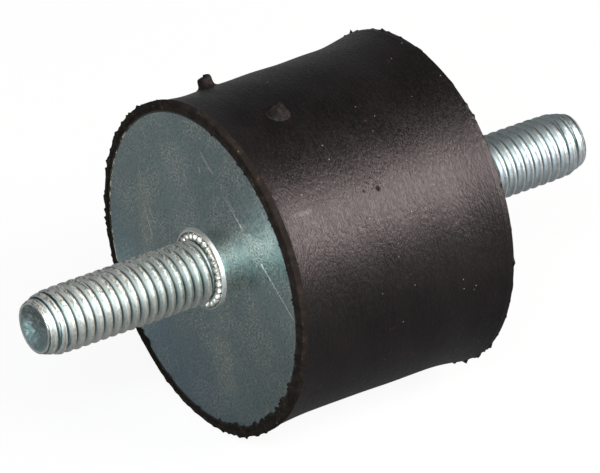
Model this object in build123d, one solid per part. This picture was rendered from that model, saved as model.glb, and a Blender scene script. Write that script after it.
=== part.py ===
from build123d import *
from math import cos, pi, radians, sin
import os

# Bobbin vibration mount with a stud at both ends. A waisted rubber cylinder is vulcanised
# between two steel discs and runs over their edges as a thin skirt. Each disc is pressed onto
# the knurled collar of a headed stud, whose head is buried in the rubber. Lengths are in
# millimetres. The axis lies along X, end A towards -X and end B towards +X, +Z is up, and the
# origin is the middle of the rubber.

# Overall
MOUNT_LENGTH = 30.0  # over the outer faces of the two plates

# End plate: a blanked disc, its metal swaged up into a lip round the serrated bore
PLATE_DIAMETER = 38.6
PLATE_THICKNESS = 2.5
PLATE_EDGE_BEVEL = 0.4  # blanked edge on the rubber's side
LIP_HEIGHT = 0.4
LIP_RUN = 0.15  # flat top of the lip, outside the collar's crests
LIP_SHOULDER = (0.3, 0.12)  # from the flat top out and down to the shoulder
LIP_FOOT = 0.2  # from the shoulder out to the plate

# Stud: rolled thread, undercut neck, knurled collar and flat head
THREAD_DIAMETER = 8.0
STUD_REACH = 23.0  # from the plate's outer face to the tip
TIP_DIAMETER = 6.7
TIP_TAPER = 2.1
CUP_DIAMETER = 4.6  # shallow crater that rolling the thread leaves in the tip
CUP_DEPTH = 0.4
NECK_DIAMETER = 7.0
NECK_LENGTH = 0.8
COLLAR_DIAMETER = 9.0  # over the crests of the knurl
COLLAR_PROUD = 0.75  # how far the collar stands out of the plate
COLLAR_SLOPE = 0.4  # bevel across the outer ends of the teeth
KNURL_TEETH = 28
KNURL_DEPTH = 0.42
PRESS_GAP = 0.01  # between the collar's teeth and the plate's serrations
HEAD_DIAMETER = 13.0
HEAD_THICKNESS = 3.0

# Rubber body
SKIRT_WALL = 1.0  # rubber over each plate's edge
RIM_BAND = 1.2  # straight band at each rim
RIM_BEVEL = 0.3
FLARE_LENGTH = 5.8  # from the straight waist out to the band
WAIST_DEPTH = 0.6  # how far the waist lies inside the rims

# Gate nubs: stubs torn off the moulding gates, on the waist near end A
NUB_SETBACK = 8.5  # from end A's face
NUB_TIP_DIAMETER = 1.7
NUB_TIP_BEVEL = 0.25
NUB_FOOT_DIAMETER = 2.8
NUB_FOOT_HEIGHT = 0.4  # the foot narrows to the stem over this height
NUB_ROOT = 1.0  # how deep the nub's solid starts below the waist
NUBS = ((55.0, 1.4), (99.0, 0.9))  # degrees from +Y towards +Z, and height

# Sizes that follow
END_X = MOUNT_LENGTH / 2
RIM_RADIUS = PLATE_DIAMETER / 2 + SKIRT_WALL
WAIST_RADIUS = RIM_RADIUS - WAIST_DEPTH
THREAD_RADIUS = THREAD_DIAMETER / 2
NECK_RADIUS = NECK_DIAMETER / 2
NECK_TOP = COLLAR_PROUD + NECK_LENGTH
CREST_RADIUS = COLLAR_DIAMETER / 2
ROOT_RADIUS = CREST_RADIUS - KNURL_DEPTH

# Each end is drawn with the plate's outer face at height 0 and its stud pointing up
ENDS = {
    "a": Plane(origin=(-END_X, 0, 0), x_dir=(0, 1, 0), z_dir=(-1, 0, 0)),
    "b": Plane(origin=(END_X, 0, 0), x_dir=(0, 1, 0), z_dir=(1, 0, 0)),
}


def turned(profile):
    """Spin a half-section, drawn as radius and height, about the upright axis."""
    return revolve(Plane.XZ * make_face(profile), Axis.Z)


def disc(diameter, thickness):
    """A plain disc that hangs down from height 0."""
    return Cylinder(diameter / 2, thickness, align=(Align.CENTER, Align.CENTER, Align.MAX))


def toothed_bar(bottom, top, gap=0.0):
    """The collar's knurled bar, or with a gap the serrated bore that it is pressed into."""
    corners = []
    for corner in range(2 * KNURL_TEETH):
        radius = (ROOT_RADIUS if corner % 2 else CREST_RADIUS) + gap
        angle = pi * corner / KNURL_TEETH
        corners.append((radius * cos(angle), radius * sin(angle)))
    section = make_face(Polyline(*corners, close=True))
    return extrude(Pos(0, 0, bottom) * section, top - bottom)


def plate_blank():
    """The plain disc, its edge broken on the rubber's side."""
    blank = disc(PLATE_DIAMETER, PLATE_THICKNESS)
    return chamfer(blank.edges().group_by(Axis.Z)[0], PLATE_EDGE_BEVEL)


def swaged_lip():
    """The ring of metal raised round the bore when the collar is pressed through."""
    top = Vector(CREST_RADIUS + LIP_RUN, LIP_HEIGHT)
    shoulder = top + Vector(LIP_SHOULDER[0], -LIP_SHOULDER[1])
    foot = (shoulder.X + LIP_FOOT, 0)
    return turned(Polyline((0, 0), (0, LIP_HEIGHT), top, shoulder, foot, close=True))


def end_plate():
    """One steel end plate with its lip and serrated bore."""
    bore = toothed_bar(-PLATE_THICKNESS, LIP_HEIGHT, PRESS_GAP)
    return plate_blank() + swaged_lip() - bore


def stud_head():
    """The flat head that seats behind the plate."""
    return Pos(0, 0, -PLATE_THICKNESS) * disc(HEAD_DIAMETER, HEAD_THICKNESS)


def stud_collar():
    """The knurled collar, each tooth's outer end bevelled down towards its crest."""
    seat = -PLATE_THICKNESS
    bevel_radius = CREST_RADIUS - COLLAR_SLOPE
    envelope = turned(
        Polyline(
            (0, seat),
            (CREST_RADIUS, seat),
            (CREST_RADIUS, COLLAR_PROUD - COLLAR_SLOPE),
            (bevel_radius, COLLAR_PROUD),
            (0, COLLAR_PROUD),
            close=True,
        )
    )
    return toothed_bar(seat, COLLAR_PROUD) & envelope


def stud_shank():
    """The undercut neck, the thread's outer cylinder and the tapered, cupped tip."""
    taper_start = STUD_REACH - TIP_TAPER
    return turned(
        Polyline(
            (0, 0),
            (NECK_RADIUS, 0),
            (NECK_RADIUS, NECK_TOP),
            (THREAD_RADIUS, NECK_TOP + THREAD_RADIUS - NECK_RADIUS),
            (THREAD_RADIUS, taper_start),
            (TIP_DIAMETER / 2, STUD_REACH),
            (CUP_DIAMETER / 2, STUD_REACH),
            (0, STUD_REACH - CUP_DEPTH),
            close=True,
        )
    )


def stud():
    """One headed stud, turned and rolled from one piece of steel."""
    return stud_head() + stud_collar() + stud_shank()


def rubber_block():
    """The waisted cylinder, flaring out to a straight band at each rim."""
    band_start = END_X - RIM_BAND
    flare_start = (band_start - FLARE_LENGTH, WAIST_RADIUS)
    flare_middle = (band_start - FLARE_LENGTH / 2, WAIST_RADIUS)
    flare_end = (band_start, RIM_RADIUS)
    rest = Polyline(
        flare_end,
        (END_X - RIM_BEVEL, RIM_RADIUS),
        (END_X, RIM_RADIUS - RIM_BEVEL),
        (END_X, 0),
        (0, 0),
        (0, WAIST_RADIUS),
        flare_start,
    )
    half = make_face([Bezier(flare_start, flare_middle, flare_end), *rest.edges()])
    return revolve(half + mirror(half, Plane.YZ), Axis.X)


def gate_nub(degrees, height):
    """One stub of rubber left where a moulding gate was torn off."""
    stem = NUB_TIP_DIAMETER / 2
    foot = NUB_FOOT_DIAMETER / 2
    nub = turned(
        Polyline(
            (0, height),
            (stem - NUB_TIP_BEVEL, height),
            (stem, height - NUB_TIP_BEVEL),
            (stem, NUB_FOOT_HEIGHT),
            (foot, 0),
            (foot, -NUB_ROOT),
            (0, -NUB_ROOT),
            close=True,
        )
    )
    outward = Vector(0, cos(radians(degrees)), sin(radians(degrees)))
    seat = Vector(NUB_SETBACK - END_X, 0, 0) + outward * WAIST_RADIUS
    return Plane(origin=seat, x_dir=(1, 0, 0), z_dir=outward) * nub


def rubber_body():
    """The moulding, with the pockets that the plates and the studs' heads are bonded into."""
    body = rubber_block()
    for degrees, height in NUBS:
        body += gate_nub(degrees, height)
    for end in ENDS.values():
        body -= end * (plate_blank() + stud_head())
    return body


os.makedirs("parts", exist_ok=True)
nodes = {"rubber_body": rubber_body()}
for name, end in ENDS.items():
    nodes["end_plate_" + name] = end * end_plate()
    nodes["stud_" + name] = end * stud()
for name, solid in nodes.items():
    export_step(solid, "parts/" + name + ".step")
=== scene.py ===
import math
from functools import partial

import bmesh
import bpy
import numpy as np
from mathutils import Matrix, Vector


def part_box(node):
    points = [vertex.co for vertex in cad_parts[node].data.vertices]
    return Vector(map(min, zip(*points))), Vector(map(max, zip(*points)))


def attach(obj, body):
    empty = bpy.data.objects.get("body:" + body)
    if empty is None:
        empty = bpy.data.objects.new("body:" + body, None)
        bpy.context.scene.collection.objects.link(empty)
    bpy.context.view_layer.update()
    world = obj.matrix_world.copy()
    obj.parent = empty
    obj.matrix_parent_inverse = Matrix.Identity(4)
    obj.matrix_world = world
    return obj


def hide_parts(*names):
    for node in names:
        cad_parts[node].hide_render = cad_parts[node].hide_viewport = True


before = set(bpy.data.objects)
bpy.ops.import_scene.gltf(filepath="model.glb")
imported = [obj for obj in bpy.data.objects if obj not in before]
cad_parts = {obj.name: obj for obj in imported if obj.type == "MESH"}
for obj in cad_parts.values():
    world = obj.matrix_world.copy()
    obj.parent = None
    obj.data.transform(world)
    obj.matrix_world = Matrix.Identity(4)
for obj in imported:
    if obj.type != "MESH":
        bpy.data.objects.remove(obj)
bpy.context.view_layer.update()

# Bobbin vibration mount, lying on its side with its axis along X. Angles round the axis run from
# +Y towards +Z. Mesh code works in millimetres and goes to metres when the mesh is made.


# ---------------------------------------------------------------------------------------------
# Camera
# A long lens from the front left, 30 degrees above the horizon, looking along the near stud.
# ---------------------------------------------------------------------------------------------
CAMERA_AZIMUTH, CAMERA_ELEVATION = math.radians(-34.81), math.radians(30.30)
CAMERA_DISTANCE = 1.3533
SENSOR_WIDTH = 36
LENS = 696.66
SHIFT = (-0.0138833, -0.0075)  # shares of the frame's width

towards_camera = Vector((
    math.sin(CAMERA_AZIMUTH) * math.cos(CAMERA_ELEVATION),
    -math.cos(CAMERA_AZIMUTH) * math.cos(CAMERA_ELEVATION),
    math.sin(CAMERA_ELEVATION),
))
camera_data = bpy.data.cameras.new("camera")
camera_data.sensor_width, camera_data.lens = SENSOR_WIDTH, LENS
camera_data.shift_x, camera_data.shift_y = SHIFT
camera_data.clip_start, camera_data.clip_end = 0.1, 20
camera = bpy.data.objects.new("camera", camera_data)
camera.location = towards_camera * CAMERA_DISTANCE
camera.rotation_mode = "QUATERNION"
camera.rotation_quaternion = (-towards_camera).to_track_quat("-Z", "Y")
bpy.context.scene.collection.objects.link(camera)
bpy.context.scene.camera = camera


# ---------------------------------------------------------------------------------------------
# Rubber body
# Compression-moulded natural rubber, vulcanised to both plates and run over their edges. The
# block is waisted, its rims carry torn flash, and a little rubber has crept over each plate.
# ---------------------------------------------------------------------------------------------
MM = 0.001
END_X = 15.0
RIM_RADIUS = 20.3
WAIST_RADIUS = 19.7
PLATE_RADIUS = 19.3
PLATE_THICKNESS = 2.5
HEAD_RADIUS = 6.5
HEAD_THICKNESS = 3.0
FLARE_END = 8.0
BAND_WIDTH = 0.9  # straight band between the rim and the step of the mould's parting line
STEP_DROP = {-1: 0.15, 1: 0.04}  # the step hardly shows at the far end
CREEP_LIMIT, FLASH_LIMIT = 0.6, 0.5

# Widths of the rubber's patterns in millimetres, each as one over how many fit in a millimetre
RING_WIDTH = 1 / 2.6  # rings left where the mould was turned
GRAIN_WIDTH = 1 / 4.2  # coarser than the real grain, so that it shows
WRINKLE_WIDTH = 1 / 1.8
BLOOM_WIDTH = 1 / 0.13
STAIN_WIDTH = 1 / 0.6
FLECK_SPACING = 1 / 0.7
TRIM_PATCH_WIDTH = 1 / 0.8
CRUMB_WIDTH = 1 / 2.6
TRIM_GRAIN_WIDTH = 1 / 2.0
TEAR_WIDTH = 1 / 1.6

SMOOTH = {"interpolation_type": "SMOOTHSTEP"}


def colour(code):
    """Turn a six-figure sRGB colour into linear RGBA."""
    parts = [int(code[i:i + 2], 16) / 255 for i in (1, 3, 5)]
    return [p / 12.92 if p <= 0.04045 else ((p + 0.055) / 1.055) ** 2.4 for p in parts] + [1.0]


def feed(made, inputs):
    """Fill a node's inputs with values, or link them to other nodes."""
    for key, value in inputs.items():
        if isinstance(value, bpy.types.Node):
            value = next(out for out in value.outputs if out.enabled)
        if isinstance(value, bpy.types.NodeSocket):
            made.id_data.links.new(value, made.inputs[key])
        else:
            made.inputs[key].default_value = value


def node(tree, kind, *values, **settings):
    """Add a node with its settings, and feed its inputs in order or by name.

    A kind in capitals is the operation of a Math node."""
    if kind.isupper():
        kind, settings["operation"] = "Math", kind
    made = tree.nodes.new(kind if "Node" in kind else "ShaderNode" + kind)
    for key, value in settings.items():
        setattr(made, key, value)
    for index, value in enumerate(values):
        feed(made, value if isinstance(value, dict) else {index: value})
    return made


def new_material(name, inputs):
    """A material, its Principled shader with some inputs set, and a way to add nodes to it."""
    material = bpy.data.materials.new(name)
    material.use_nodes = True
    shader = material.node_tree.nodes["Principled BSDF"]
    feed(shader, inputs)
    return material, shader, partial(node, material.node_tree)


def in_mm(add, stretch=(1, 1, 1)):
    """Object coordinates in millimetres, times a stretch along each axis."""
    place = add("TexCoord").outputs["Object"]
    return add("Mapping", {"Vector": place, "Scale": [1000 * s for s in stretch]})


def painted(add, ground, *coats):
    """Lay coats of colour over a ground, each given as how much of it covers and its colour."""
    for share, code in coats:
        ground = add("Mix", {0: share, 6: ground, 7: colour(code)}, data_type="RGBA")
    return ground


def line_mask(add, place, start, stop, half_width):
    """1 within half_width of a straight line between two points in millimetres."""
    start, stop = Vector(start), Vector(stop)
    along = stop - start
    offset = add("VectorMath", place, start, operation="SUBTRACT")
    share = add("VectorMath", offset, along / along.length_squared, operation="DOT_PRODUCT")
    nearest = add("VectorMath", {0: along, 3: add("Clamp", share)}, operation="SCALE")
    gap = add("VectorMath", offset, nearest, operation="DISTANCE")
    return add("MapRange", gap, half_width * 0.4, half_width * 1.3, 1.0, 0.0, **SMOOTH)


def largest(add, masks):
    """The largest of several masks."""
    whole = masks[0]
    for mask in masks[1:]:
        whole = add("MAXIMUM", whole, mask)
    return whole


# Blisters that burst in the mould: (x, angle, radius, depth)
PITS = [
    (-0.5, 138.4, 0.25, 0.18), (-2.4, 137.7, 0.15, 0.12), (-1.6, 135.2, 0.12, 0.10),
    (-0.9, 134.0, 0.12, 0.10), (-0.1, 132.9, 0.10, 0.08), (0.6, 133.6, 0.10, 0.08),
    (-0.4, 136.0, 0.09, 0.07), (-0.9, 136.6, 0.09, 0.07), (-1.9, 136.7, 0.08, 0.06),
    (-1.3, 137.6, 0.08, 0.06), (0.1, 137.3, 0.08, 0.06), (-1.4, 133.0, 0.08, 0.06),
]
# A pale scrape on the waist: two ends, each as x and angle
SCRAPE = ((-12.8, 138.0), (-10.1, 138.3))
SCRAPE_HALF_WIDTH = 0.33


def on_waist(x, angle):
    """A point on the waist, in millimetres."""
    turn = math.radians(angle)
    return Vector((x, WAIST_RADIUS * math.cos(turn), WAIST_RADIUS * math.sin(turn)))


def rubber_material():
    """Sulphur-cured natural rubber filled with carbon black: a brown black with a dull sheen.

    The mould's skin gives it a fine leathery grain, and rings where the mould was turned. Dust and
    bloom leave pale flecks, a few rusty stains and one pale scrape."""
    material, shader, add = new_material(
        "moulded_rubber", {"Specular IOR Level": 0.40, "Specular Tint": (1.0, 0.92, 0.93, 1.0)})
    place = in_mm(add)
    rings = add("TexNoise", {
        "Vector": in_mm(add, (1, 0.08, 0.08)), "Scale": 1 / RING_WIDTH, "Detail": 3.0, "Roughness": 0.6})
    grain = add("TexNoise", {
        "Vector": in_mm(add, (1, 0.42, 0.42)), "Scale": 1 / GRAIN_WIDTH, "Detail": 3.0, "Roughness": 0.65})
    wrinkle = add("TexNoise", {
        "Vector": in_mm(add, (1, 0.5, 0.5)), "Scale": 1 / WRINKLE_WIDTH, "Detail": 3.0, "Roughness": 0.6})
    bloom = add("TexNoise", {"Vector": place, "Scale": 1 / BLOOM_WIDTH, "Detail": 4.0, "Roughness": 0.6})
    elsewhere = add("VectorMath", place, (40, 0, 0), operation="ADD")
    stain = add("TexNoise", {"Vector": elsewhere, "Scale": 1 / STAIN_WIDTH, "Detail": 3.0})
    flecks = add("TexVoronoi", {"Vector": place, "Scale": 1 / FLECK_SPACING})
    fleck = add("MapRange", flecks.outputs["Distance"], 0.03, 0.08, 1.0, 0.0, **SMOOTH)
    kept = add("MapRange", add("SeparateColor", flecks.outputs["Color"]), 0.55, 0.7, 0.0, 0.7, **SMOOTH)
    scrape = line_mask(add, place, *(on_waist(*end) for end in SCRAPE), SCRAPE_HALF_WIDTH)
    # Painted shade: the burst blisters are coloured darker than the skin round them, and made rougher, so
    # they stay dark in the highlight.
    pits = []
    for x, angle, radius, _ in PITS:
        gap = add("VectorMath", place, on_waist(x, angle), operation="DISTANCE")
        pits.append(add("MapRange", gap, 0.6 * radius, 1.3 * radius, 1.0, 0.0, **SMOOTH))
    pitted = largest(add, pits)
    base = painted(
        add, colour("#070606"),
        (add("MapRange", bloom, 0.35, 0.7, **SMOOTH), "#100d0e"),
        (add("MapRange", stain, 0.66, 0.80, 0.0, 0.35, **SMOOTH), "#40221c"),
        (add("MULTIPLY", fleck, kept), "#8a8078"),
        (add("MULTIPLY", scrape, add("MapRange", grain, 0.4, 0.6, 0.0, 0.5, **SMOOTH)), "#6e6664"),
        (pitted, "#050404"),
    )
    dull = add("ADD", add("MapRange", rings, 0.3, 0.7, -0.03, 0.03, **SMOOTH),
               add("MapRange", grain, 0.35, 0.65, 0.34, 0.45, **SMOOTH))
    height = add("MULTIPLY_ADD", wrinkle, 0.3, add("MULTIPLY_ADD", grain, 0.9, add("MULTIPLY", rings, 0.25)))
    feed(shader, {
        "Base Color": base,
        "Roughness": add("MULTIPLY_ADD", pitted, 0.5, dull),
        "Normal": add("Bump", {"Height": height, "Strength": 0.62, "Distance": 0.15 * MM}),
    })
    return material


def trimmed_rubber_material():
    """The same rubber where the near rim was trimmed: matt, brown, with crumbs of dried primer."""
    material, shader, add = new_material("trimmed_rubber", {"Roughness": 0.85, "Specular IOR Level": 0.05})
    place = in_mm(add)
    patches = add("TexNoise", {
        "Vector": place, "Scale": 1 / TRIM_PATCH_WIDTH, "Detail": 3.0, "Roughness": 0.6})
    crumbs = add("TexNoise", {"Vector": place, "Scale": 1 / CRUMB_WIDTH, "Detail": 2.0, "Roughness": 0.6})
    grain = add("TexNoise", {"Vector": place, "Scale": 1 / TRIM_GRAIN_WIDTH, "Detail": 4.0, "Roughness": 0.7})
    crumbs = add("MULTIPLY", add("MapRange", crumbs, 0.62, 0.70, **SMOOTH),
                 add("MapRange", patches, 0.5, 0.62, 0.0, 0.7, **SMOOTH))
    base = painted(
        add, colour("#1e1a18"),
        (add("MapRange", patches, 0.4, 0.65, **SMOOTH), "#28221f"),
        (crumbs, "#6c6049"),
    )
    feed(shader, {
        "Base Color": base,
        "Normal": add("Bump", {"Height": grain, "Strength": 0.7, "Distance": 0.2 * MM}),
    })
    return material


def torn_rubber_material():
    """The same rubber where it tore: dull, with a dusty brown bloom on what stands proud."""
    material, shader, add = new_material("torn_rubber", {"Roughness": 0.7, "Specular IOR Level": 0.16})
    tears = add("TexNoise", {"Vector": in_mm(add), "Scale": 1 / TEAR_WIDTH, "Detail": 4.0, "Roughness": 0.65})
    feed(shader, {
        "Base Color": painted(
            add, colour("#120f0e"), (add("MapRange", tears, 0.4, 0.7, **SMOOTH), "#2a2421")),
        "Normal": add("Bump", {"Height": tears, "Strength": 0.8, "Distance": 0.25 * MM}),
    })
    return material


def wrapped(angles, centre):
    """Angle from a centre, in degrees, from -180 to 180."""
    return (angles - centre + 180) % 360 - 180


def lumps(angles, listed):
    """Sum of bumps, each given as (angle, height, half width in degrees)."""
    return sum(height * np.exp(-(wrapped(angles, at) / width) ** 2) for at, height, width in listed)


def scattered(seed, spans):
    """Random bumps over angle spans, each (from, to, how many, lowest, highest, half width)."""
    draw = np.random.default_rng(seed)
    return [
        (draw.uniform(start, stop), draw.uniform(low, high), width * draw.uniform(0.6, 1.5))
        for start, stop, count, low, high, width in spans
        for _ in range(count)
    ]


def finish_mesh(mesh):
    """Merge doubled points, turn the faces outward and shade them smooth."""
    work = bmesh.new()
    work.from_mesh(mesh)
    bmesh.ops.remove_doubles(work, verts=work.verts, dist=2e-6)
    bmesh.ops.dissolve_degenerate(work, dist=1e-7, edges=work.edges)
    bmesh.ops.recalc_face_normals(work, faces=work.faces)
    for face in work.faces:
        face.smooth = True
    work.to_mesh(mesh)
    work.free()
    return mesh


def ring_mesh(name, rows, loop=False):
    """A closed mesh from rings of points in millimetres, as an array (rows, columns, 3).

    The first and last rings are poles on the axis unless loop joins them. The UV map runs round
    the ring, then along the rings."""
    rows = np.asarray(rows, float)
    count, around = rows.shape[:2]
    index = np.arange(count * around).reshape(count, around)
    faces, uvs = [], []
    for i in range(count if loop else count - 1):
        j = (i + 1) % count
        for k in range(around):
            n = (k + 1) % around
            faces.append([int(p) for p in (index[i, k], index[i, n], index[j, n], index[j, k])])
            u, w = k / around, (k + 1) / around
            v, t = i / count, (i + 1) / count
            uvs.extend(((u, v), (w, v), (w, t), (u, t)))
    mesh = bpy.data.meshes.new(name)
    mesh.from_pydata(rows.reshape(-1, 3) * MM, [], faces)
    layer = mesh.uv_layers.new(name="turned")
    layer.data.foreach_set("uv", np.array(uvs).ravel())
    return finish_mesh(mesh)


def turned_rows(profile, angles):
    """Rings for a profile of (x, radius), where each may be an array over the angles."""
    turn = np.radians(angles)
    rows = []
    for x, radius in profile:
        x, radius = np.broadcast_to(x, turn.shape), np.broadcast_to(radius, turn.shape)
        rows.append(np.stack((x, radius * np.cos(turn), radius * np.sin(turn)), axis=-1))
    return rows


def piece(name, mesh, material, node_name):
    """Put a mesh in the scene as a piece that stands for a CAD node."""
    made = bpy.data.objects.new(name, mesh)
    bpy.context.scene.collection.objects.link(made)
    if not mesh.materials:
        mesh.materials.append(material)
    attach(made, "root")
    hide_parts(node_name)
    return made


# Columns are closer together on the side with the pits and the torn creep
ANGLES = np.concatenate((np.arange(0, 95, 1.0), np.arange(95, 262, 0.5), np.arange(262, 360, 1.0)))

# Rubber that crept over each plate's edge, and flash torn at the rims: (angle, height, half width)
CREEP = {
    "a": [(230, 0.55, 1.0), (226, 0.3, 1.2), (211, 0.45, 1.2), (252, 0.4, 1.5)] + scattered(3, [
        (95, 200, 90, 0.03, 0.26, 0.45), (198, 262, 70, 0.08, 0.38, 0.6), (262, 302, 16, 0.05, 0.28, 0.8),
        (-20, 85, 24, 0.0, 0.08, 1.2), (300, 340, 26, 0.08, 0.36, 0.9)]),
    "b": scattered(4, [(0, 360, 90, 0.02, 0.3, 1.0)]),
}
FLASH = {
    "a": [(268, 0.3, 1.2)] + scattered(5, [
        (-40, 40, 60, 0.05, 0.28, 0.45), (40, 180, 80, 0.02, 0.2, 0.5), (180, 320, 64, 0.02, 0.17, 1.0)]),
    "b": [(52, 0.5, 0.6), (47, 0.3, 1.5), (122, 0.25, 0.8), (126.5, 0.35, 0.6), (178, 0.3, 1.0),
          (253, 0.3, 1.6), (245, 0.35, 1.6), (238, 0.4, 1.8), (229, 0.3, 1.5), (219, 0.3, 1.5)]
    + scattered(6, [(0, 360, 110, 0.0, 0.16, 0.7)]),
}


def end_profile(side, creep, flash):
    """Half-section from the axis, round one plate's pocket, to the foot of the flare."""
    plate_back = END_X - PLATE_THICKNESS
    head_back = plate_back - HEAD_THICKNESS
    pocket = [
        (head_back, 0.0), (head_back, HEAD_RADIUS * 0.5), (head_back, HEAD_RADIUS),
        (plate_back, HEAD_RADIUS), (plate_back, 13.0), (plate_back, PLATE_RADIUS - 0.4),
        (plate_back + 0.4, PLATE_RADIUS), (END_X - 0.05, PLATE_RADIUS - 0.01),
    ]
    film = PLATE_RADIUS - 0.02 - creep
    thick = 0.05 + 0.25 * creep
    crept = [
        (END_X - 0.03, film), (END_X + 0.4 * thick, film - 0.02), (END_X + 0.85 * thick, film + 0.04),
        (END_X + thick, film + 0.12), (END_X + 0.6 * thick, np.maximum(film + 0.3, PLATE_RADIUS)),
        (END_X + 0.01, PLATE_RADIUS + 0.25), (END_X, PLATE_RADIUS + 0.5), (END_X, PLATE_RADIUS + 0.7),
    ]
    rim = [
        (END_X - 0.01, RIM_RADIUS - 0.18 + 0.3 * flash), (END_X - 0.05, RIM_RADIUS - 0.06 + 0.8 * flash),
        (END_X - 0.10, RIM_RADIUS - 0.01 + flash), (END_X - 0.17, RIM_RADIUS + 0.7 * flash),
        (END_X - 0.28, RIM_RADIUS + 0.02 + 0.2 * flash), (END_X - 0.45, RIM_RADIUS + 0.01),
        (END_X - 0.65, RIM_RADIUS),
    ]
    step_x, drop = END_X - BAND_WIDTH, STEP_DROP[side]
    step = [
        (step_x + 0.07, RIM_RADIUS), (step_x + 0.02, RIM_RADIUS - 0.13 * drop),
        (step_x, RIM_RADIUS - 0.4 * drop), (step_x - 0.02, RIM_RADIUS - 0.8 * drop),
        (step_x - 0.1, RIM_RADIUS - drop),
    ]
    flare_start = step_x - 0.1
    flare_rise = RIM_RADIUS - drop - WAIST_RADIUS
    flare = [
        (flare_start + (FLARE_END - flare_start) * along, WAIST_RADIUS + flare_rise * (1 - along) ** 2)
        for along in np.linspace(0, 1, 19)[1:]
    ]
    return [(side * x, radius) for x, radius in pocket + crept + rim + step + flare]


def pit_press(x, angles):
    """How far the burst blisters press into the skin, less the little lip that each one raised."""
    press = np.zeros_like(x)
    for at, angle, size, depth in PITS:
        across = np.hypot(x - at, np.radians(wrapped(angles, angle))[None, :] * WAIST_RADIUS)
        press += depth * np.exp(-(across / size) ** 4)
        press -= 0.25 * depth * np.exp(-((across - 1.5 * size) / (0.5 * size)) ** 2)
    return press


def rubber_body():
    """The whole block as one closed skin, with its pits pressed in."""
    waist_x = np.concatenate((  # rings are closer together where the pits are
        np.arange(-FLARE_END + 0.3, -3.4, 0.35), np.arange(-3.3, 1.0, 0.1),
        np.arange(1.1, FLARE_END - 0.2, 0.35)))
    ends = {}
    for end, side in (("a", -1), ("b", 1)):
        creep = np.clip(lumps(ANGLES, CREEP[end]), 0, CREEP_LIMIT)
        flash = np.clip(lumps(ANGLES, FLASH[end]), 0, FLASH_LIMIT)
        ends[end] = end_profile(side, creep, flash)
    profile = ends["a"] + [(x, WAIST_RADIUS) for x in waist_x] + ends["b"][::-1]
    rows = np.array(turned_rows(profile, ANGLES))
    x, radius = rows[..., 0], np.hypot(rows[..., 1], rows[..., 2])
    turn = np.radians(ANGLES)[None, :]
    swell = (0.03 * np.sin(3 * turn + 0.4 * x) + 0.02 * np.sin(7 * turn - 0.9 * x + 1)
             + 0.012 * np.sin(0.9 * x + 2))
    outside = radius > PLATE_RADIUS + 0.3
    grown = np.where(outside, radius + swell - pit_press(x, ANGLES), radius)
    rows[..., 1], rows[..., 2] = grown * np.cos(turn), grown * np.sin(turn)
    mesh = ring_mesh("rubber_body_skin", rows)
    for face in mesh.polygons:
        face.material_index = int(-face.center.x > (END_X - BAND_WIDTH - 0.05) * MM)
    return mesh


skin = piece("rubber_body_skin", rubber_body(), rubber_material(), "rubber_body")
skin.data.materials.append(trimmed_rubber_material())


# ---------------------------------------------------------------------------------------------
# Gate nubs
# Two stubs of the same rubber, torn off where the mould's gates fed the block, each with a
# flared root. One is tall with a rounded end, the other is low with a ragged, pointed top.
# ---------------------------------------------------------------------------------------------
NUB_X = -6.5
NUB_ANGLES = {"tall": 55.0, "torn": 99.0}
# Half-sections as (radius, height above the waist)
NUB_SECTIONS = {
    "tall": [
        (0.0, -0.9), (1.5, -0.9), (1.62, -0.12), (1.5, 0.0), (1.3, 0.05), (1.12, 0.14), (1.0, 0.27),
        (0.93, 0.45), (0.9, 0.7), (0.88, 0.95), (0.84, 1.15), (0.76, 1.27), (0.62, 1.35), (0.4, 1.4),
        (0.0, 1.42)],
    "torn": [
        (0.0, -0.9), (1.5, -0.9), (1.65, -0.14), (1.55, -0.02), (1.4, 0.06), (1.28, 0.15), (1.16, 0.3),
        (1.02, 0.5), (0.88, 0.74), (0.7, 0.98), (0.52, 1.14), (0.28, 1.22), (0.0, 1.24)],
}


def gate_nub(name, angle, section, ragged, seed):
    """A stub built of rings up from the waist, then bent to sit on the round block."""
    turn = np.radians(np.arange(0, 360, 5.0))
    draw = np.random.default_rng(seed)
    waves = [(n, draw.uniform(-1, 1), draw.uniform(0, 6.28), draw.uniform(-1, 1)) for n in (1, 2, 3, 5, 7)]
    rows = []
    for radius, height in section:
        share = max(0.0, height / section[-1][1])
        rough = ragged * share * sum(
            size * np.sin(n * turn + start + 2 * lean * height) / n for n, size, start, lean in waves)
        spread = radius * (1 + 0.10 * rough)
        along, across = spread * np.cos(turn), spread * np.sin(turn)
        top = height * (1 + 0.16 * rough) - across ** 2 / (2 * WAIST_RADIUS)
        rows.append(np.stack((along, across, top), axis=-1))
    rows = np.array(rows)
    lean = math.radians(angle)
    out, side = np.array((0, math.cos(lean), math.sin(lean))), np.array((0, -math.sin(lean), math.cos(lean)))
    seat = np.array((NUB_X, 0, 0)) + out * WAIST_RADIUS
    placed = seat + rows[..., :1] * np.array((1, 0, 0)) + rows[..., 1:2] * side + rows[..., 2:] * out
    return ring_mesh(name, placed)


torn_rubber = torn_rubber_material()
for kind, ragged, seed in (("tall", 0.6, 11), ("torn", 1.6, 12)):
    name = f"gate_nub_{kind}"
    nub = gate_nub(name, NUB_ANGLES[kind], NUB_SECTIONS[kind], ragged, seed)
    piece(name, nub, torn_rubber, "rubber_body")


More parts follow.
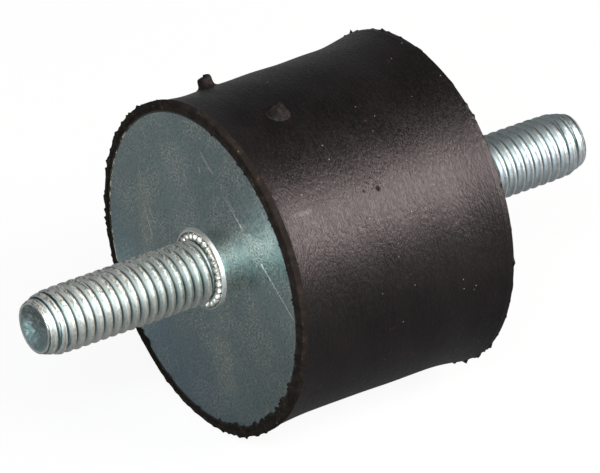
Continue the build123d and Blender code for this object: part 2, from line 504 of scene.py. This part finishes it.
# ---------------------------------------------------------------------------------------------
# End plates
# Blanked steel discs, clear-passivated bright zinc. The blanks were faced, which left circular
# grooves, and the metal is swaged up into a bright lip round the serrated bore.
# ---------------------------------------------------------------------------------------------
KNURL_TEETH = 28
CREST_RADIUS, ROOT_RADIUS = 4.5, 4.08
PRESS_GAP = 0.01
COLUMNS_PER_TOOTH = 16
LIP_HEIGHT = 0.46
LIP_SUNK, LIP_SUNK_AT, LIP_SUNK_WIDTH = 0.14, 235, 45  # lower on one side: by how much, angle, half width
LIP_CURL = 0.2  # radius of the lip's rolled top
LIP_SLOPE = 0.58  # run of its outer flank for each millimetre of height
LIP_FOOT_RADIUS = 5.1
PRIMER_RADIUS = PLATE_RADIUS - 0.3

# Widths of the zinc's patterns in millimetres
PASSIVATION_WIDTH = 1 / 0.16
MOTTLE_WIDTH = 1 / 1.5
SPECKLE_WIDTH = 1 / 4.4
WORN_WIDTH = 1 / 0.22
PLATING_GRAIN = 1 / 5.0  # far coarser than the real crystals, so that it shows
BURNISH_WIDTH = 1 / 2.6
PRIMER_WIDTH = 1 / 1.1

# Marks on the plates, each from one (y, z) to another, with half its width
SCRATCHES = [
    ((0.25, 15.5), (-2.25, 13.9), 0.10), ((0.0, 15.1), (-1.6, 14.0), 0.07), ((-4.6, 11.8), (-8.2, 9.4), 0.10),
    ((-5.0, 12.0), (-6.6, 10.9), 0.07), ((-12.1, 6.5), (-18.5, 2.3), 0.10), ((11.8, 2.6), (10.4, -0.2), 0.09),
    ((10.9, 3.4), (9.9, 1.6), 0.07), ((0.5, 13.3), (0.4, 12.8), 0.14),
]
SCUFFS = [((-4.0, -9.5), (-4.8, -12.5), 2.4), ((12.2, 5.5), (11.2, -2.5), 1.6)]
# Painted glints: small gold-white marks near the disc's edge where it catches the light, each from one (y, z)
# to another with half its width.
PAINTED_EDGE_GLINTS = [((-7.5, 17.5), (-7.2, 17.7), 0.16), ((-10.9, 15.7), (-10.7, 15.9), 0.14),
         ((-12.4, 14.4), (-12.3, 14.5), 0.1)]
# Fine scratches that run one way: (turn in radians, width, lowest and highest noise to show)
HAIRLINES = [(0.5, 1 / 3.2, 0.60, 0.72), (1.35, 1 / 3.6, 0.62, 0.74), (2.4, 1 / 3.4, 0.62, 0.75)]
HAIRLINE_STRETCH = 0.12


def hairlines(add, flat):
    """Fine short scratches in the plate's plane, in sets that each run one way."""
    sets = []
    for turn, width, low, high in HAIRLINES:
        turned = add("VectorRotate", {"Vector": flat, "Angle": turn}, rotation_type="X_AXIS")
        scale = (1 / width, 1 / width, HAIRLINE_STRETCH / width)
        stretched = add("Mapping", {"Vector": turned, "Scale": scale})
        streak = add("TexNoise", {"Vector": stretched, "Scale": 1.0})
        sets.append(add("MapRange", streak, low, high, **SMOOTH))
    return largest(add, sets)


def plate_material():
    """Zinc plate over faced steel: blue-grey, grooved in circles, scuffed and a little stained.

    The circular grooves stretch the highlight into a fan. A Mapping node can't follow them, so
    the tangent comes from the UV map, which runs round the disc."""
    material, shader, add = new_material(
        "plate_zinc", {"Metallic": 1.0, "Anisotropic": 0.95, "Anisotropic Rotation": 0.25})
    place = in_mm(add)
    flat = add("VectorMath", place, (0, 1, 1), operation="MULTIPLY")

    def marked(listed):
        return largest(add, [
            line_mask(add, flat, (0, *start), (0, *stop), width) for start, stop, width in listed])

    stains = add("TexNoise", {
        "Vector": place, "Scale": 1 / PASSIVATION_WIDTH, "Detail": 4.0, "Roughness": 0.6})
    mottle = add("TexNoise", {"Vector": place, "Scale": 1 / MOTTLE_WIDTH, "Detail": 4.0, "Roughness": 0.7})
    speckle = add("TexNoise", {
        "Vector": in_mm(add, (1, 0.6, 1)), "Scale": 1 / SPECKLE_WIDTH, "Detail": 3.0, "Roughness": 0.7})
    elsewhere = add("VectorMath", place, (7, 3, 9), operation="ADD")
    worn = add("TexNoise", {"Vector": elsewhere, "Scale": 1 / WORN_WIDTH, "Detail": 4.0, "Roughness": 0.65})
    scuffed = add("MULTIPLY", marked(SCUFFS), add("MapRange", mottle, 0.3, 0.6, **SMOOTH))
    worn = add("MAXIMUM", add("MapRange", worn, 0.42, 0.62, 0.15, 0.78, **SMOOTH),
               add("MULTIPLY", scuffed, 1.5))
    # Painted reflection: a blue tint that grows towards the lower left of the disc.
    painted_reflection_tint = add("VectorMath", place, (0, 0.5, -0.86), operation="DOT_PRODUCT")
    fine = hairlines(add, flat)
    scratch = add("MULTIPLY", marked(SCRATCHES), add("MapRange", speckle, 0.35, 0.6, 0.4, 1.0, **SMOOTH))
    base = painted(
        add, colour("#8fa6aa"),
        (add("MapRange", stains, 0.35, 0.65, **SMOOTH), "#9ab0b1"),
        (add("MapRange", mottle, 0.45, 0.75, 0.0, 0.4, **SMOOTH), "#b9bfb7"),
        (add("MULTIPLY", add("MapRange", speckle, 0.49, 0.60, **SMOOTH), worn), "#e2e3d6"),
        (add("MapRange", speckle, 0.34, 0.48, 0.7, 0.0, **SMOOTH), "#5f6e74"),
        (add("MapRange", painted_reflection_tint, 2.0, 19.0, 0.0, 0.45, **SMOOTH), "#94aec4"),
        (add("MULTIPLY", scuffed, 0.4), "#b9bfb7"),
        (add("MULTIPLY", fine, add("MULTIPLY_ADD", scuffed, 0.4, 0.35)), "#d8dbd6"),
        (scratch, "#fbfbf8"),
        # Painted glints at the edge.
        (marked(PAINTED_EDGE_GLINTS), "#f1e3b0"),
    )
    rough = add("ADD", add("MapRange", stains, 0.3, 0.7, 0.29, 0.32, **SMOOTH),
                add("MapRange", mottle, 0.35, 0.65, -0.03, 0.05, **SMOOTH))
    rough = add("MULTIPLY_ADD", scratch, 0.2, add("MULTIPLY_ADD", fine, -0.08, rough))
    grain = add("TexNoise", {"Vector": place, "Scale": 1 / PLATING_GRAIN})
    height = add("MULTIPLY_ADD", mottle, 0.8, add("MULTIPLY_ADD", fine, -0.2, add("MULTIPLY", grain, 0.3)))
    feed(shader, {
        "Base Color": base,
        "Roughness": rough,
        "Normal": add("Bump", {"Height": height, "Strength": 0.5, "Distance": 0.05 * MM}),
        "Tangent": add("Tangent", direction_type="UV_MAP", uv_map="turned"),
    })
    return material


def lip_material():
    """The lip's zinc, burnished pale where the metal was stretched over, and brown painted shade in the bore.
    """
    material, shader, add = new_material("burnished_zinc", {"Metallic": 1.0})
    place = in_mm(add)
    worn = add("TexNoise", {"Vector": place, "Scale": 1 / BURNISH_WIDTH, "Detail": 3.0, "Roughness": 0.6})
    across = add("VectorMath", place, (0, 1, 1), operation="MULTIPLY")
    radius = add("VectorMath", across, operation="LENGTH")
    height = add("SeparateXYZ", place).outputs[2]
    # Painted shade: the lip is darker and blue-grey on its lower side.
    low = add("MULTIPLY", add("MapRange", height, -3.6, -0.6, 0.8, 0.0, **SMOOTH),
              add("MapRange", radius, 4.70, 4.78, **SMOOTH))
    # Painted shade: brown in the bore and on the lip's inner side.
    bore = add("MULTIPLY", add("MapRange", radius, 4.42, 4.50, **SMOOTH),
               add("MapRange", radius, 4.64, 4.76, 1.0, 0.0, **SMOOTH))
    base = painted(
        add, colour("#f6f5f1"),
        (add("MapRange", worn, 0.45, 0.75, **SMOOTH), "#c9cac5"),
        (add("MapRange", radius, 4.42, 4.50, 0.25, 0.0, **SMOOTH), "#e6dccb"),
        (low, "#97a8ac"),
        (add("MULTIPLY", bore, 0.7), "#4e473c"),
    )
    feed(shader, {
        "Base Color": base,
        "Roughness": add("MapRange", worn, 0.35, 0.7, 0.44, 0.54, **SMOOTH),
        "Normal": add("Bump", {"Height": worn, "Strength": 0.4, "Distance": 0.06 * MM}),
    })
    return material


def primer_material():
    """Bonding primer that shows as a broken beige line where the rubber stops short."""
    material, shader, add = new_material("bonding_primer", {"Roughness": 0.7})
    place = in_mm(add)
    patches = add("TexNoise", {"Vector": place, "Scale": 1 / PRIMER_WIDTH, "Detail": 3.0, "Roughness": 0.7})
    bare = add("MapRange", add("SeparateXYZ", place).outputs[1], 14.0, 17.0, **SMOOTH)
    shown = add("MULTIPLY", add("MapRange", patches, 0.46, 0.56, **SMOOTH), bare)
    feed(shader, {
        "Base Color": painted(add, colour("#23201c"), (shown, "#a89f8a")),
        "Normal": add("Bump", {"Height": patches, "Strength": 0.5, "Distance": 0.08 * MM}),
    })
    return material


def tooth_shape(turn):
    """0 in the valleys between the collar's teeth and 1 on their crests."""
    return (0.5 + 0.5 * np.cos(turn * KNURL_TEETH)) ** 0.8


def end_plate(name, side, seed):
    """The disc as a ring of rings: bore, lip, face, edge and back."""
    angles = np.arange(0, 360, 360 / (KNURL_TEETH * COLUMNS_PER_TOOTH))
    turn = np.radians(angles)
    bore = ROOT_RADIUS + (CREST_RADIUS - ROOT_RADIUS) * tooth_shape(turn) + PRESS_GAP
    draw = np.random.default_rng(seed)
    uneven = sum(draw.uniform(-1, 1) * np.sin(n * turn + draw.uniform(0, 6.28)) for n in (2, 3, 5, 8, 13)) / 5
    sunk = LIP_SUNK * np.exp(-(wrapped(angles, LIP_SUNK_AT) / LIP_SUNK_WIDTH) ** 2)
    lip = (LIP_HEIGHT - sunk) * (1 + 0.12 * uneven)
    crest = CREST_RADIUS + 0.23 + 0.03 * uneven
    profile = [(-PLATE_THICKNESS, bore), (-1.2, bore), (-0.2, bore), (0.05, bore),
               (0.15, bore * 0.75 + crest * 0.25), (0.28, bore * 0.4 + crest * 0.6)]
    for swing in np.radians((150, 125, 100, 80, 62, 45, 30)):
        profile.append((lip - LIP_CURL + LIP_CURL * np.sin(swing), crest + LIP_CURL * np.cos(swing)))
    for down in (0.35, 0.7, 1.0):
        flank = (lip - 0.1) * (1 - down) + 0.04 * down
        profile.append((flank, crest + 0.173 + (lip - 0.14) * LIP_SLOPE * down))
    profile += [(0.01, crest + 0.43), (0.0, 5.3)]
    profile += [(0.0, radius) for radius in np.linspace(5.5, PLATE_RADIUS - 0.5, 36)]
    profile += [(0.0, PLATE_RADIUS - 0.3), (0.01, PLATE_RADIUS - 0.2), (0.0, PLATE_RADIUS - 0.1),
                (-0.03, PLATE_RADIUS - 0.04), (-0.12, PLATE_RADIUS), (-PLATE_THICKNESS + 0.4, PLATE_RADIUS),
                (-PLATE_THICKNESS, PLATE_RADIUS - 0.4), (-PLATE_THICKNESS, 12.0)]
    placed = [(side * (END_X + height), radius) for height, radius in profile]
    mesh = ring_mesh(name, turned_rows(placed, angles), loop=True)
    for face in mesh.polygons:
        radius = math.hypot(face.center.y, face.center.z) / MM
        face.material_index = 1 if radius < LIP_FOOT_RADIUS else 2 if radius > PRIMER_RADIUS else 0
    return mesh


zinc_plate, burnished_zinc, primer = plate_material(), lip_material(), primer_material()
for end, side in (("a", -1), ("b", 1)):
    name = f"end_plate_{end}_disc"
    disc = piece(name, end_plate(name, side, 20 + side), zinc_plate, f"end_plate_{end}")
    disc.data.materials.append(burnished_zinc)
    disc.data.materials.append(primer)


# ---------------------------------------------------------------------------------------------
# Stud collars and heads
# The stud's blank is turned steel with a flat head and a knurled collar that bites into the
# plate. The press has rounded each tooth's outer end into a bead.
# ---------------------------------------------------------------------------------------------
BEAD_HEIGHT = 0.52
BEAD_HALF_WIDTH, BEAD_HALF_LENGTH = 0.47, 0.6
BEAD_FOOT = 0.25  # height above the plate at which the beads start
BEAD_INNER_RADIUS = 3.5
NECK_RADIUS = 3.35
THREAD_START = 0.6
NECK_INSIDE = 3.0  # the collar's skin closes inside the thread

# Widths of the studs' patterns in millimetres
SCUFF_WIDTH = 1 / 2.4
STREAK_WIDTH = 1 / 4.8


def stud_material(name, scuffed):
    """Bright zinc over rolled steel, with a share of scuffs and painted light and shade.

    Pale crests and blue to green roots are painted highlight and painted shade. Painted shade also
    darkens the roots and the stud that isn't scuffed towards the top."""
    material, shader, add = new_material(name, {"Metallic": 1.0})
    place = in_mm(add)
    height = add("SeparateXYZ", place).outputs[2]
    ridge = add("Attribute", attribute_name="ridge").outputs["Fac"]
    scuffs = add("TexNoise", {"Vector": place, "Scale": 1 / SCUFF_WIDTH, "Detail": 4.0, "Roughness": 0.65})
    streaks = add("TexNoise", {
        "Vector": in_mm(add, (1, 0.35, 0.35)), "Scale": 1 / STREAK_WIDTH, "Detail": 3.0, "Roughness": 0.7})
    # Dark specks grow denser towards the top of the scuffed stud: scuffs, and painted shade on its top.
    upper = add("MapRange", height, 0.6, 3.6, 0.0, scuffed, **SMOOTH)
    specks = add("MapRange", streaks, 0.47, 0.58, 0.0, 0.3, **SMOOTH)
    specks = add("MULTIPLY_ADD", specks, add("MULTIPLY", upper, 1.8), specks)
    # Painted light and shade: crest, flank and root colours stand in for how the thread is lit, and the roots
    # are painted darker towards the top.
    low_root, flank, crest = (
        ("#7a9396", "#d4dada", "#efebe0") if scuffed else ("#cad6dc", "#dde9ef", "#e8ecec"))
    root = painted(add, colour(low_root), (add("MapRange", height, -2.5, 1.5, **SMOOTH), "#3f5350"))
    base = painted(
        add, root,
        (add("MapRange", ridge, 0.0, 0.24 + 0.06 * scuffed, **SMOOTH), flank),
        (add("MapRange", ridge, 0.6, 1.0, **SMOOTH), crest),
        # Painted shade: the stud that isn't scuffed is darker and greener towards its top.
        (add("MapRange", height, 1.2, 3.6, 0.0, 0.35 * (1 - scuffed), **SMOOTH), "#6c7c77"),
        (add("MapRange", scuffs, 0.56, 0.72, 0.0, 0.6, **SMOOTH), "#8d8a83"),
        (add("MULTIPLY", specks, add("MapRange", ridge, 0.3, 0.95, **SMOOTH)), "#71736f"),
    )
    rough = add("ADD", add("MapRange", ridge, 0.0, 1.0, 0.48, 0.41 + 0.02 * scuffed, **SMOOTH),
                add("MapRange", scuffs, 0.4, 0.75, 0.0, 0.12, **SMOOTH))
    feed(shader, {
        "Base Color": base,
        "Roughness": add("MULTIPLY_ADD", upper, 0.12, rough),
        "Normal": add("Bump", {"Height": scuffs, "Strength": 0.4, "Distance": 0.05 * MM}),
    })
    return material


def collar(name, side, seed):
    """Head, toothed collar with beaded tooth ends, and neck, as one closed turned skin."""
    angles = np.arange(0, 360, 360 / (KNURL_TEETH * COLUMNS_PER_TOOTH))
    turn = np.radians(angles)
    tooth = turn * KNURL_TEETH / (2 * math.pi) + 0.5
    number = np.floor(tooth).astype(int) % KNURL_TEETH
    off_middle = (tooth % 1.0 - 0.5) * 2 * math.pi / KNURL_TEETH
    draw = np.random.default_rng(seed)
    proud = draw.uniform(BEAD_HEIGHT - 0.08, BEAD_HEIGHT + 0.06, KNURL_TEETH)[number]
    middle = draw.uniform(4.02, 4.10, KNURL_TEETH)[number]
    wall = ROOT_RADIUS + (CREST_RADIUS - ROOT_RADIUS) * tooth_shape(turn)
    seat = -PLATE_THICKNESS
    profile = [(seat - HEAD_THICKNESS, 0.0), (seat - HEAD_THICKNESS, HEAD_RADIUS - 0.1),
               (seat - HEAD_THICKNESS + 0.1, HEAD_RADIUS), (seat, HEAD_RADIUS), (seat, wall), (0.0, wall),
               (BEAD_FOOT - 0.05, wall)]
    for inward in np.linspace(0, 1, 17):
        radius = wall - 0.01 - (wall - BEAD_INNER_RADIUS) * inward
        across, along = off_middle * radius / BEAD_HALF_WIDTH, (radius - middle) / BEAD_HALF_LENGTH
        profile.append((BEAD_FOOT + proud * np.sqrt(np.clip(1 - across ** 2 - along ** 2, 0, 1)), radius))
    profile += [(BEAD_FOOT, 3.44), (0.27, NECK_RADIUS + 0.02), (0.32, NECK_RADIUS - 0.01),
                (THREAD_START + 0.15, NECK_RADIUS - 0.01), (THREAD_START + 0.3, NECK_INSIDE),
                (THREAD_START + 0.3, 0.0)]
    placed = [(side * (END_X + height), radius) for height, radius in profile]
    mesh = ring_mesh(name, turned_rows(placed, angles))
    points = np.array([v.co for v in mesh.vertices]) / MM
    radius = np.hypot(points[:, 1], points[:, 2])
    height = np.abs(points[:, 0]) - END_X
    # The neck takes the roots' painted shade, and the collar above the plate the crests' pale colour.
    ridge = mesh.attributes.new("ridge", "FLOAT", "POINT")
    ridge.data.foreach_set("value", np.where(radius < 3.47, 0.05, np.clip((height - 0.2) / 0.25, 0.05, 1.0)))
    for face in mesh.polygons:
        radius = math.hypot(face.center.y, face.center.z) / MM
        proud_of_plate = abs(face.center.x) / MM - END_X
        face.material_index = int(BEAD_INNER_RADIUS < radius < CREST_RADIUS and 0.3 < proud_of_plate)
    return mesh


zinc_stud = {"a": stud_material("stud_zinc_scuffed", 1.0), "b": stud_material("stud_zinc", 0.0)}
for end, side in (("a", -1), ("b", 1)):
    name = f"stud_{end}_collar"
    seated = piece(name, collar(name, side, 30 + side), zinc_stud[end], f"stud_{end}")
    seated.data.materials.append(burnished_zinc)


# ---------------------------------------------------------------------------------------------
# Stud threads
# M8 x 1.25, rolled between dies, right-handed. Rolling leaves rounded crests and roots, a cone
# at the tip where the thread fades, and a shallow crater in the tip's end face.
# ---------------------------------------------------------------------------------------------
PITCH = 1.25
STUD_REACH = {"a": 23.4, "b": 22.7}
TIP_RADIUS = {"a": 3.1, "b": 3.2}
CRATER_WALL = 0.13  # rim round the tip's crater
THREAD_CREST, THREAD_ROOT = 3.95, 3.3
ROWS_PER_TURN, COLUMNS = 22, 132
TIP_RINGS, BASE_RINGS = 24, 4
# The thread's form from crest to root: share of half a pitch, and height from root to crest
THREAD_FORM = [(0, 1), (0.15, 0.98), (0.26, 0.90), (0.84, 0.08), (0.92, 0.015), (1, 0)]
RIPPLE_PITCH, RIPPLE_HEIGHT = 0.44, 0.03  # rings that the dies left on the tip's cone
DENT_WIDTH, CRATER_GRAIN = 1 / 1.6, 1 / 2.2


def thread_nodes():
    """Node group that winds a sheared grid into a thread and closes both its ends."""
    tree = bpy.data.node_groups.new("rolled_thread", "GeometryNodeTree")
    add = partial(node, tree)
    tree.interface.new_socket("Geometry", in_out="OUTPUT", socket_type="NodeSocketGeometry")
    wanted = {
        "Side": 1.0, "Face": END_X, "Start": THREAD_START, "End": 23.0, "Pitch": PITCH,
        "Crest": THREAD_CREST, "Root": THREAD_ROOT, "Neck": NECK_RADIUS, "Tip": 2.85, "Taper": 2.7,
        "Runout": 0.35, "Crater": 2.72, "Crater depth": 0.8, "Turn": 0.0, "Wear": 0.05, "Seed": 0.0,
    }
    for label, value in wanted.items():
        made = tree.interface.new_socket(label, in_out="INPUT", socket_type="NodeSocketFloat")
        made.default_value = value
    tree.interface.new_socket("Material", in_out="INPUT", socket_type="NodeSocketMaterial")
    given = add("NodeGroupInput").outputs

    def grid(count):
        """A unit grid, and how far each point is along its rows and its columns."""
        made = add("GeometryNodeMeshGrid", {
            "Size X": 1, "Size Y": 1, "Vertices X": count, "Vertices Y": COLUMNS + 1})
        apart = add("SeparateXYZ", add("GeometryNodeInputPosition")).outputs
        return made, add("ADD", apart[0], 0.5), add("ADD", apart[1], 0.5)

    def wind(mesh, height, radius, round_share, ridge):
        """Set a grid's points round the axis and keep how high on the thread each one is."""
        kept = add("GeometryNodeStoreNamedAttribute", {"Geometry": mesh, "Name": "ridge", "Value": ridge},
                   data_type="FLOAT", domain="POINT")
        turn = add("MULTIPLY_ADD", add("MULTIPLY", round_share, given["Side"]), 2 * math.pi, given["Turn"])
        place = add("CombineXYZ", add("MULTIPLY", add("ADD", height, given["Face"]), given["Side"]),
                    add("MULTIPLY", radius, add("COSINE", turn)), add("MULTIPLY", radius, add("SINE", turn)))
        metres = add("VectorMath", {0: place, 3: MM}, operation="SCALE")
        return add("GeometryNodeSetPosition", {"Geometry": kept, "Position": metres})

    def before_end(distance):
        """The height at some distance before the tip's end face."""
        return add("SUBTRACT", given["End"], distance)

    # The thread's skin: each column is one pitch lower than the last when it has gone round
    rows = int((max(STUD_REACH.values()) - THREAD_START + PITCH) / PITCH * ROWS_PER_TURN) + 2
    mesh, up, about = grid(rows)
    span = (rows - 1) * PITCH / ROWS_PER_TURN
    raised = add("MULTIPLY_ADD", up, span, add("SUBTRACT", given["Start"], given["Pitch"]))
    unclamped = add("MULTIPLY_ADD", about, given["Pitch"], raised)
    height = add("MINIMUM", add("MAXIMUM", unclamped, given["Start"]), given["End"])
    turns = add("DIVIDE", add("SUBTRACT", raised, given["Start"]), given["Pitch"])
    from_crest = add("MULTIPLY", add("PINGPONG", turns, 0.5), 2.0)
    form = add("FloatCurve", {"Value": from_crest})
    line = form.mapping.curves[0]
    line.points[0].location, line.points[1].location = THREAD_FORM[0], THREAD_FORM[-1]
    for point in THREAD_FORM[1:-1]:
        line.points.new(*point)
    form.mapping.update()
    run = add("MapRange", height, given["Start"], add("ADD", given["Start"], given["Runout"]), **SMOOTH)
    depth = add("SUBTRACT", given["Crest"], given["Root"])
    full = add("MULTIPLY_ADD", form, depth, given["Root"])
    cut = add("Mix", {0: run, 2: given["Neck"], 3: full}, data_type="FLOAT")

    # The cone at the tip, on which the thread fades and the dies left rings and a seam
    along = add("MapRange", height, before_end(given["Taper"]), given["End"])
    cone = add("Mix", {0: add("POWER", along, 1.5), 2: given["Crest"], 3: given["Tip"]}, data_type="FLOAT")
    near_tip = add("MapRange", height, before_end(4.6), before_end(2.0), **SMOOTH)
    seam = add("MULTIPLY", near_tip, add("MapRange", from_crest, 0.05, 0.30, 0.16, 0.0, **SMOOTH))
    fading = add("MapRange", height, before_end(1.9), before_end(0.35), 0.24, 0.05, **SMOOTH)
    wave = add("SINE", add("MULTIPLY", height, 2 * math.pi / RIPPLE_PITCH))
    rippled = add("MULTIPLY", near_tip, wave)
    cone = add("MULTIPLY_ADD", rippled, RIPPLE_HEIGHT, cone)
    # Painted shade: the ripples' valleys take the roots' darker colour.
    painted_ripple_shade = add("POWER", add("MAXIMUM", 0.0, add("MULTIPLY", rippled, -1.0)), 4.0)
    grooved = add("SUBTRACT", cone, add("MULTIPLY", fading, add("SUBTRACT", 1.0, form)))
    cut = add("SUBTRACT", add("SMOOTH_MIN", cut, grooved, 0.05), seam)
    fade = add("MapRange", height, before_end(0.35), before_end(0.05), **SMOOTH)
    cut = add("Mix", {0: fade, 2: cut, 3: cone}, data_type="FLOAT")

    # Small dents all over
    around = add("MULTIPLY", about, 2 * math.pi)
    spot = add("CombineXYZ", add("MULTIPLY", add("COSINE", around), 5.0),
               add("MULTIPLY", add("SINE", around), 5.0),
               add("ADD", height, add("MULTIPLY", given["Seed"], 40.0)))
    dents = add("TexNoise", {"Vector": spot, "Scale": 1 / DENT_WIDTH, "Detail": 3.0})
    dent = add("MULTIPLY", add("MULTIPLY", add("SUBTRACT", dents, 0.5), given["Wear"]),
               add("MULTIPLY", add("SUBTRACT", 1.0, fade), run))
    ridge = add("MAXIMUM", add("SUBTRACT", form, painted_ripple_shade), 0.0)
    thread = wind(mesh, height, add("ADD", cut, dent), about, ridge)

    # The tip's end face, with its crater
    mesh, inward, about = grid(TIP_RINGS)
    flat = add("MULTIPLY", given["Tip"], add("SUBTRACT", 1.0, inward))
    around = add("MULTIPLY", about, 2 * math.pi)
    spot = add("CombineXYZ", add("MULTIPLY", flat, add("COSINE", around)),
               add("MULTIPLY", flat, add("SINE", around)), add("MULTIPLY", given["Seed"], 9.0))
    rough = add("TexNoise", {"Vector": spot, "Scale": 1 / CRATER_GRAIN, "Detail": 3.0})
    outward = add("DIVIDE", flat, given["Crater"])
    inside = add("MapRange", outward, 1.0, 0.8, **SMOOTH)
    dished = add("MapRange", outward, 1.02, 0.4, **SMOOTH)
    pitted = add("MULTIPLY_ADD", inside, add("MULTIPLY", 0.3, add("SUBTRACT", rough, 0.5)), dished)
    # The crater takes the roots' and flanks' darker colours, painted shade, and its rim the crests' pale
    # colour, painted highlight.
    ridge = add("MAXIMUM", add("MapRange", inward, 0.02, 0.10, 1.0, 0.03, **SMOOTH),
                add("MapRange", rough, 0.4, 0.7, 0.08, 0.16, **SMOOTH))
    tip = wind(mesh, before_end(add("MULTIPLY", given["Crater depth"], pitted)), flat, about, ridge)

    # The closed base, inside the collar
    mesh, inward, about = grid(BASE_RINGS)
    shrunk = add("MULTIPLY", given["Neck"], add("SUBTRACT", 1.0, inward))
    base = wind(mesh, given["Start"], shrunk, about, 0.5)

    joined = add("GeometryNodeJoinGeometry")
    for part in (thread, tip, base):
        feed(joined, {0: part})
    merged = add("GeometryNodeMergeByDistance", {"Geometry": joined, "Distance": 2e-6})
    real = add("GeometryNodeRealizeInstances", merged)
    dressed = add("GeometryNodeSetMaterial", {"Geometry": real, "Material": given["Material"]})
    add("NodeGroupOutput", dressed)
    return tree


def wound_thread(name, tree, inputs):
    """Run the node group once and keep its result as a plain mesh."""
    holder = bpy.data.objects.new(name, bpy.data.meshes.new(name + "_start"))
    bpy.context.scene.collection.objects.link(holder)
    modifier = holder.modifiers.new("thread", "NODES")
    modifier.node_group = tree
    for item in tree.interface.items_tree:
        if item.in_out == "INPUT" and item.name in inputs:
            modifier[item.identifier] = inputs[item.name]
    graph = bpy.context.evaluated_depsgraph_get()
    mesh = bpy.data.meshes.new_from_object(holder.evaluated_get(graph), depsgraph=graph)
    bpy.data.objects.remove(holder)
    mesh.name = name
    return finish_mesh(mesh)


# Where a crest lies along each stud at one angle round the axis: (x, angle)
CREST_MARKS = {"a": (-26.45, 194.6), "b": (30.8, 194.6)}


def thread_turn(side, crest_x, angle):
    """The turn that brings a crest to that x at that angle."""
    rise = abs(crest_x) - END_X - THREAD_START
    return math.radians(angle) - side * 2 * math.pi * (rise / PITCH)


winding = thread_nodes()
for end, side in (("a", -1), ("b", 1)):
    name = f"stud_{end}_thread"
    mesh = wound_thread(name, winding, {
        "Side": float(side), "End": STUD_REACH[end], "Tip": TIP_RADIUS[end],
        "Crater": TIP_RADIUS[end] - CRATER_WALL, "Turn": thread_turn(side, *CREST_MARKS[end]),
        "Seed": float(side), "Material": zinc_stud[end]})
    piece(name, mesh, zinc_stud[end], f"stud_{end}")


# ---------------------------------------------------------------------------------------------
# Floor and light
# Matt white paper that the mount lies on, in a grey room that is lighter near the floor. Three
# soft boxes light it: a warm key from the front right, a weaker white one from above the front
# left, and a small cool one low on the left.
# ---------------------------------------------------------------------------------------------
FLOOR_REACH = 3.0
FLOOR_GLOW = 0.925  # what the paper adds for the eye, so that it meets the backdrop
MIRRORED_GLOW = (0.10, 0.24)  # what metal sees of the paper, near the mount and away from it
MIRRORED_SPAN = (0.02, 0.07)
SHADED_SPOT = (0, -0.03, 0)
LAMP_DISTANCE = 0.6


def floor_material():
    """Matt white paper, lifted for the eye and dimmed in what the metal mirrors."""
    material, shader, add = new_material(
        "white_paper", {"Base Color": colour("#424343"), "Roughness": 0.9, "Specular IOR Level": 0.0})
    rays = add("LightPath").outputs
    mirrored = add("ADD", rays["Is Glossy Ray"], rays["Is Transmission Ray"])
    away = add("VectorMath", add("TexCoord").outputs["Object"], SHADED_SPOT, operation="DISTANCE")
    mirrored = add("MULTIPLY", mirrored, add("MapRange", away, *MIRRORED_SPAN, *MIRRORED_GLOW, **SMOOTH))
    strength = add("MULTIPLY_ADD", rays["Is Camera Ray"], FLOOR_GLOW, mirrored)
    glow = add("Emission", {"Color": colour("#ffffff"), "Strength": strength})
    feed(material.node_tree.nodes["Material Output"], {"Surface": add("AddShader", shader, glow)})
    return material


corners = [(x * FLOOR_REACH, y * FLOOR_REACH, 0) for x, y in ((-1, -1), (1, -1), (1, 1), (-1, 1))]
floor_mesh = bpy.data.meshes.new("floor")
floor_mesh.from_pydata(corners, [], [(0, 1, 2, 3)])
floor_mesh.materials.append(floor_material())
floor = bpy.data.objects.new("floor", floor_mesh)
floor.location.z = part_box("rubber_body")[0][2]
bpy.context.scene.collection.objects.link(floor)


def soft_light(name, direction, width, height, power, tint):
    """A rectangular soft box aimed at the object."""
    data = bpy.data.lights.new(name, "AREA")
    data.shape, data.size, data.size_y = "RECTANGLE", width, height
    data.energy, data.color = power, colour(tint)[:3]
    lamp = bpy.data.objects.new(name, data)
    lamp.visible_camera = False
    aim = Vector(direction).normalized()
    lamp.location = aim * LAMP_DISTANCE
    lamp.rotation_mode = "QUATERNION"
    lamp.rotation_quaternion = aim.to_track_quat("Z", "Y")
    bpy.context.scene.collection.objects.link(lamp)


soft_light("key", (0.54, -0.65, 0.52), 0.34, 0.34, 5.9, "#fff4f0")
soft_light("front", (-0.48, -0.57, 0.67), 0.34, 0.24, 4.0, "#ffffff")
soft_light("left", (-0.92, -0.37, 0.14), 0.26, 0.14, 1.1, "#d6fafc")

world = bpy.data.worlds.new("room")
bpy.context.scene.world = world
world.use_nodes = True
world.node_tree.nodes.clear()
add = partial(node, world.node_tree)
upward = add("SeparateXYZ", add("TexCoord").outputs["Generated"]).outputs[2]
walls = painted(add, colour("#83888c"), (add("MapRange", upward, 0.05, 0.75, **SMOOTH), "#484541"))
add("OutputWorld", {"Surface": add("Background", {"Color": walls, "Strength": 1.0})})
bpy.context.scene.view_settings.view_transform = "Standard"
